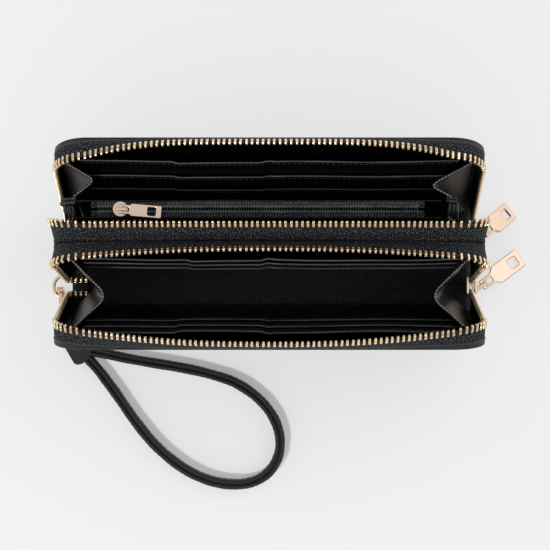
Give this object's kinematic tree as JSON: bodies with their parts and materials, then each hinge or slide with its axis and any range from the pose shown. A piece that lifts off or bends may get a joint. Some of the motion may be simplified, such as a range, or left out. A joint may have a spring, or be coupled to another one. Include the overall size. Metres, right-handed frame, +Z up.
{
  "type": "wristlet wallet",
  "caption": "Zip-around wristlet wallet standing open on its spine, with card tiers, a zipped coin pocket, folding gussets, metal zip pulls and a leather wrist strap on a swivel clasp.",
  "frame": {"origin": "centre of the flat underside of the spine", "axes": "+X along the length towards the end where the outer sliders park, +Y towards the coin-pocket compartment, +Z up through the open mouth"},
  "size_m": [0.2392, 0.1705, 0.1052],
  "materials": {
    "leather": "fine pebbled, satin black",
    "strap_leather": "smooth folded leather with rolled edges, satin black",
    "lining": "smooth satin synthetic lining, black",
    "gusset": "satin lining cloth with a stitched fold, dark grey",
    "twill": "woven twill zip tape, black",
    "nylon": "moulded nylon coil, black",
    "teeth": "polished pale gold zip elements",
    "pale_gold": "polished pale gold plating",
    "rose_gold": "brushed and polished rose gold plating"
  },
  "bodies": {
    "spine": {"spine_base": "leather", "middle_wall": "leather", "wall_back_lining": "lining", "wall_front_border": "leather", "wall_front_zip_tape": "twill", "wall_front_zip_teeth": "teeth", "wall_back_border": "leather", "wall_back_zip_tape": "twill", "wall_back_zip_teeth": "teeth", "wall_front_card_tier_1": "lining", "wall_front_card_tier_2": "lining", "wall_front_card_tier_3": "lining", "coin_pocket_front": "lining", "coin_pocket_back": "lining", "coin_zip_tape_front": "twill", "coin_zip_tape_back": "twill", "coin_zip_coil_front": "nylon", "coin_zip_coil_back": "nylon", "front_gusset_left": "gusset", "front_gusset_right": "gusset", "back_gusset_left": "gusset", "back_gusset_right": "gusset", "coin_gusset_left": "gusset", "coin_gusset_right": "gusset", "front_bottom_stop": "pale_gold", "back_bottom_stop": "pale_gold", "ring_tab": "strap_leather"},
    "front_panel": {"front_cover": "leather", "front_lining": "lining", "front_border": "leather", "front_zip_tape": "twill", "front_zip_teeth": "teeth", "front_card_tier_1": "lining", "front_card_tier_2": "lining", "front_card_tier_3": "lining"},
    "back_panel": {"back_cover": "leather", "back_lining": "lining", "back_border": "leather", "back_zip_tape": "twill", "back_zip_teeth": "teeth", "back_card_tier_1": "lining", "back_card_tier_2": "lining", "back_card_tier_3": "lining"},
    "front_slider": {"front_slider": "pale_gold"},
    "front_pull": {"front_pull": "rose_gold"},
    "back_slider": {"back_slider": "pale_gold"},
    "back_pull": {"back_pull": "rose_gold"},
    "coin_slider": {"coin_slider": "rose_gold"},
    "coin_pull": {"coin_pull": "rose_gold"},
    "ring": {"d_ring": "pale_gold"},
    "clasp": {"clasp_hook": "rose_gold"},
    "gate": {"clasp_gate": "rose_gold"},
    "strap": {"clasp_eye": "rose_gold", "strap_keeper": "strap_leather", "wrist_strap": "strap_leather"}
  },
  "joints": [
    {"name": "front_panel_fold", "type": "hinge", "parent": "spine", "child": "front_panel", "pos_m": [0, -0.025, 0.003], "axis": [-1, 0, 0], "range_deg": [-5, 15], "deforming": ["front_gusset_left", "front_gusset_right"]},
    {"name": "back_panel_fold", "type": "hinge", "parent": "spine", "child": "back_panel", "pos_m": [0, 0.025, 0.003], "axis": [1, 0, 0], "range_deg": [-8, 10], "deforming": ["back_gusset_left", "back_gusset_right"]},
    {"name": "front_slide", "type": "slide", "parent": "spine", "child": "front_slider", "axis": [0, 0.0958, 0.9954], "range_m": [0, 0.06]},
    {"name": "back_slide", "type": "slide", "parent": "spine", "child": "back_slider", "axis": [0, 0.0958, 0.9954], "range_m": [-0.0105, 0.05]},
    {"name": "front_pull_swing", "type": "hinge", "parent": "front_slider", "child": "front_pull", "pos_m": [0.1071, -0.01211, 0.008], "axis": [0.5878, -0.809, 0], "range_deg": [-60, 85]},
    {"name": "back_pull_swing", "type": "hinge", "parent": "back_slider", "child": "back_pull", "pos_m": [0.1071, 0.01409, 0.0185], "axis": [0.6211, -0.7837, 0], "range_deg": [-30, 110]},
    {"name": "coin_slide", "type": "slide", "parent": "spine", "child": "coin_slider", "axis": [1, 0, 0], "range_m": [0, 0.13]},
    {"name": "coin_pull_swing", "type": "hinge", "parent": "coin_slider", "child": "coin_pull", "pos_m": [-0.07, 0.024, 0.0904], "axis": [-0.0872, -0.9962, 0], "range_deg": [0, 170]},
    {"name": "ring_tilt", "type": "hinge", "parent": "spine", "child": "ring", "pos_m": [-0.0975, -0.013, 0.0045], "axis": [0, 1, 0], "range_deg": [-28, 0]},
    {"name": "clasp_swing", "type": "hinge", "parent": "ring", "child": "clasp", "pos_m": [-0.10505, -0.01864, 0.0045], "axis": [0, 0, 1], "range_deg": [-28, 0]},
    {"name": "clasp_gate_spring", "type": "hinge", "parent": "clasp", "child": "gate", "pos_m": [-0.10461, -0.02312, 0.009], "axis": [-0.9951, -0.0993, 0], "range_deg": [0, 20], "stiffness_Nm_per_rad": 0.002, "springref_deg": -17.19},
    {"name": "clasp_swivel", "type": "hinge", "parent": "clasp", "child": "strap", "pos_m": [-0.1041, -0.02819, 0.0052], "axis": [0.0993, -0.9951, 0], "continuous": true}
  ]
}
